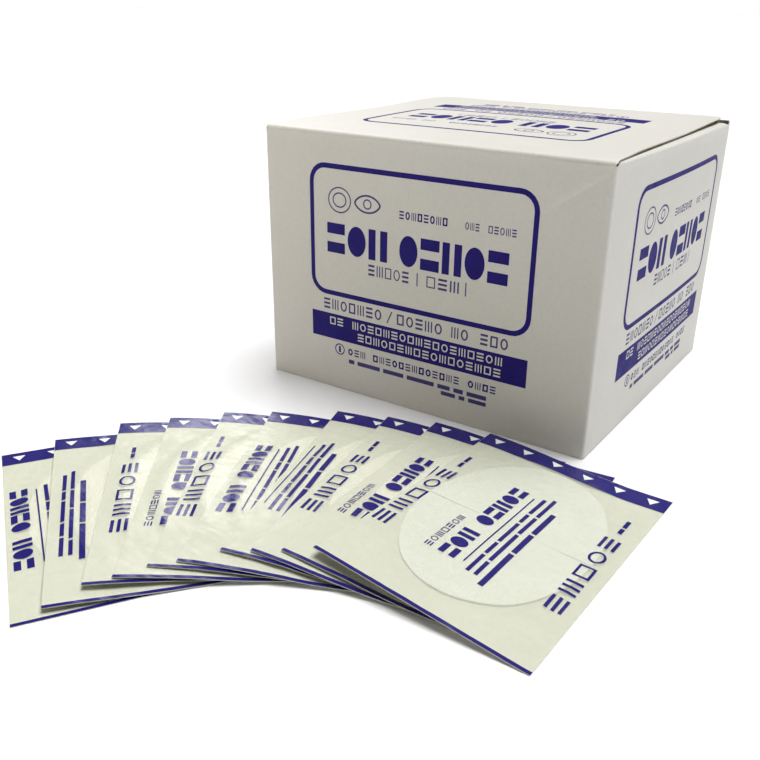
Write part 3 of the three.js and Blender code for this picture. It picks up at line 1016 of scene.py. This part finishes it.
def make_patch(label, draped, cut):
    """The patch in a shut pack: non-woven backing, thicker where the pad is."""
    flat, triangles, _ = part_of(cut, cut[3][0])
    share = oval_share(flat, PATCH)
    pad = np.clip((0.72 - share) / 0.1, 0, 1)
    top = PATCH_LOW + 0.34 + 0.3 * pad * pad * (3 - 2 * pad) - 0.16 * share**14
    patch = layer(f"{label}_oval", f"{label}_patch", label, "patch_backing", draped, flat, triangles,
                  PATCH_LOW, top, NONWOVEN)


def make_open_patch(draped, cut):
    """The top pack's patch in its layers: backing, fleece pad and the two release liners."""
    low = PATCH_LOW
    backing = layer("top_patch_backing", f"{TOP_PACK}_patch_backing", "patch", "patch_backing", draped,
                    *part_of(cut, cut[3][0])[:2], low, low + 0.25, NONWOVEN)
    flat, triangles, _ = part_of(cut, cut[3][1])
    rounding = 0.14 * oval_share(flat, PAD_OVAL) ** 10
    pad = layer("top_patch_pad", f"{TOP_PACK}_patch_pad", "patch", "patch_pad", draped, flat, triangles,
                low + 0.27, low + 0.62 - rounding, PAD)
    for name, region in (("upper", 2), ("lower", 3)):
        layer(f"top_liner_{name}", f"{TOP_PACK}_liner_{name}", f"liner_{name}", "release_liner", draped,
              *part_of(cut, cut[3][region])[:2], low + 0.63, low + 0.7, LINER)


def make_fan():
    settled = settle_fan()
    for label, phase in zip(LABELS, PHASES):
        cut = cut_pack(phase)
        make_back_sheet(label, settled[label], cut)
        make_film(label, settled[label], cut)
        if label != TOP_PACK:
            make_patch(label, settled[label], cut)
        else:
            make_open_patch(settled[label], cut)


# ---- Rows of packs in the carton ----

PACKS_IN_ROW = 95


def make_row(name, side):
    """Packs on edge behind each other, bands up. Each one is a thin closed pillow with its own small tilt."""
    low, high = cad_box_mm(name)
    us = np.linspace(-1, 1, 9)
    vs = np.array([-1, -0.8, -0.45, 0, 0.45, 0.8, 1 - 2 * BAND / PACK_HEIGHT, 0.97, 1])
    u, v = (g.ravel() for g in np.meshgrid(us, vs, indexing="ij"))
    bulge = np.sqrt(np.clip(1 - np.hypot(u * 0.93, v * 0.93) ** 4, 0, 1))
    count, rows, cols = len(u), len(us), len(vs)
    cell = [(i * cols + j, (i + 1) * cols + j, (i + 1) * cols + j + 1, i * cols + j + 1)
            for i in range(rows - 1) for j in range(cols - 1)]
    edge = ([(i * cols, (i + 1) * cols) for i in range(rows - 1)]
            + [((rows - 1) * cols + j, (rows - 1) * cols + j + 1) for j in range(cols - 1)]
            + [((i + 1) * cols - 1 + cols, (i + 1) * cols - 1) for i in range(rows - 1)][::-1]
            + [(j + 1, j) for j in range(cols - 1)][::-1])
    points, faces, slots = [], [], []
    pitch = (high[1] - low[1] - 0.3) / (PACKS_IN_ROW - 1)
    for n in range(PACKS_IN_ROW):
        start = 2 * count * n
        shift, drop, lean = rng.uniform(-0.4, 0.4), rng.uniform(0, 1.3), rng.uniform(-0.15, 0.15)
        x = (low[0] + high[0]) / 2 + u * (PACK_WIDTH / 2 - 0.4) + shift
        z = (low[2] + high[2]) / 2 + v * (PACK_HEIGHT / 2 - 0.7) + 0.65 - drop
        middle = low[1] + 0.35 + n * pitch + lean * v + 0.12 * np.sin(3 * u + n) * (v > 0.7)
        for sign in (-1, 1):
            points.append(np.stack([x, middle + sign * (0.1 + 0.42 * bulge), z], axis=1))
        for a, b, c, d in cell:
            banded = v[a] > vs[5] + 0.01
            faces.append((start + a, start + b, start + c, start + d))
            slots.append(1 if banded else 0)
            faces.append((start + count + d, start + count + c, start + count + b, start + count + a))
            slots.append(2)
        for a, b in edge:
            faces.append((start + b, start + a, start + count + a, start + count + b))
            slots.append(2)
    row = add_mesh(f"packs_{side}", np.concatenate(points), faces, [PAPER, FILM_INK, PAPER], slots)
    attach(row, "carton")
    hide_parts(name)


# ---- Floor, light and camera ----

WORLD_ABOVE = 0.13  # sky strength overhead; it is 1 at the horizon
WORLD_FRONT = 0.75  # sky strength in front of the carton, as a share of that behind it
SUN_FROM, SUN_STRENGTH, SUN_WIDTH = (0.14, 0.18, 0.97), 3.85, math.radians(40)
LAMPS = [  # name, place and target in metres, size, watts, colour
    ("softbox", (-0.72, 0.6, 0.66), (0, -0.15, 0), 0.35, 2.2, (1.0, 1.0, 1.0)),
    ("fill", (-0.42, -0.4, 0.17), (-0.07, -0.07, 0.06), 0.3, 0.5, (1.0, 0.88, 0.7)),
    ("side", (0.8, 0.1, 0.3), (0.07, 0, 0.05), 0.4, 0.2, (0.93, 0.97, 1.0)),
]
CAMERA_PLACE, CAMERA_AIM = Vector((167.6, -336.8, 150.3)), Vector((-16.0, FRONT, 9.0))
CAMERA_ROLL, CAMERA_LENS = math.radians(0.6), 41


def area_light(name, place, target, size, watts, color):
    light = bpy.data.lights.new(name, "AREA")
    light.shape = "DISK"
    light.size, light.energy, light.color = size, watts, color
    lamp = bpy.data.objects.new(name, light)
    lamp.location = place
    lamp.visible_camera = False
    lamp.rotation_euler = (Vector(target) - Vector(place)).to_track_quat("-Z", "Y").to_euler()
    bpy.context.scene.collection.objects.link(lamp)


def make_stage():
    """A white table under a high, wide sun: the lid is lit by the sun, and the walls mostly by the table.

    The sky gives its light unevenly, but the backdrop that the camera sees is plain white.
    """
    bpy.ops.mesh.primitive_plane_add(size=40)
    floor = bpy.context.object
    floor.name = "floor"
    floor.data.materials.append(Shader("floor", (0.82, 0.82, 0.83), 0.8).material)
    world = bpy.data.worlds.new("studio")
    world.use_nodes = True
    sky = Tree(world.node_tree)
    split = sky.nodes.new("ShaderNodeSeparateXYZ")
    sky.links.new(sky.nodes.new("ShaderNodeTexCoord").outputs["Generated"], split.inputs[0])
    fade = sky.ramp(split.outputs["Z"], 0.02, 0.2, 1.0, WORLD_ABOVE)
    front = sky.ramp(split.outputs["Y"], -0.8, 0.0, WORLD_FRONT, 1.0)
    light = sky.combine("MULTIPLY", fade, front)
    seen = sky.nodes.new("ShaderNodeLightPath").outputs["Is Camera Ray"]
    background = sky.nodes["Background"]
    background.inputs["Color"].default_value = (1, 1, 1, 1)
    sky.links.new(sky.combine("MAXIMUM", light, seen), background.inputs["Strength"])
    bpy.context.scene.world = world
    sun = bpy.data.lights.new("sun", "SUN")
    sun.energy, sun.angle = SUN_STRENGTH, SUN_WIDTH
    lamp = bpy.data.objects.new("sun", sun)
    lamp.rotation_euler = Vector(SUN_FROM).to_track_quat("Z", "Y").to_euler()
    bpy.context.scene.collection.objects.link(lamp)
    for lamp_settings in LAMPS:
        area_light(*lamp_settings)


def make_camera():
    """Stands where the carton's edges converge as they do in a close picture from the front right."""
    back = (CAMERA_PLACE - CAMERA_AIM).normalized()
    right = Vector((0, 0, 1)).cross(back).normalized()
    up = back.cross(right)
    turned_right = right * math.cos(CAMERA_ROLL) + up * math.sin(CAMERA_ROLL)
    turned_up = up * math.cos(CAMERA_ROLL) - right * math.sin(CAMERA_ROLL)
    basis = Matrix((turned_right, turned_up, back)).transposed().to_4x4()
    camera = bpy.data.objects.new("camera", bpy.data.cameras.new("camera"))
    camera.data.lens = CAMERA_LENS
    camera.data.clip_start = 0.01
    camera.matrix_world = Matrix.Translation(CAMERA_PLACE * MM) @ basis
    bpy.context.scene.collection.objects.link(camera)
    bpy.context.scene.camera = camera


make_camera()
make_stage()
make_sleeve()
make_lid()
make_tuck()
make_dust_flap(1)
make_dust_flap(-1)
dress_cad_boards()
make_fan()
make_row("pack_row_left", "left")
make_row("pack_row_right", "right")
bpy.context.scene.view_settings.view_transform = "Standard"
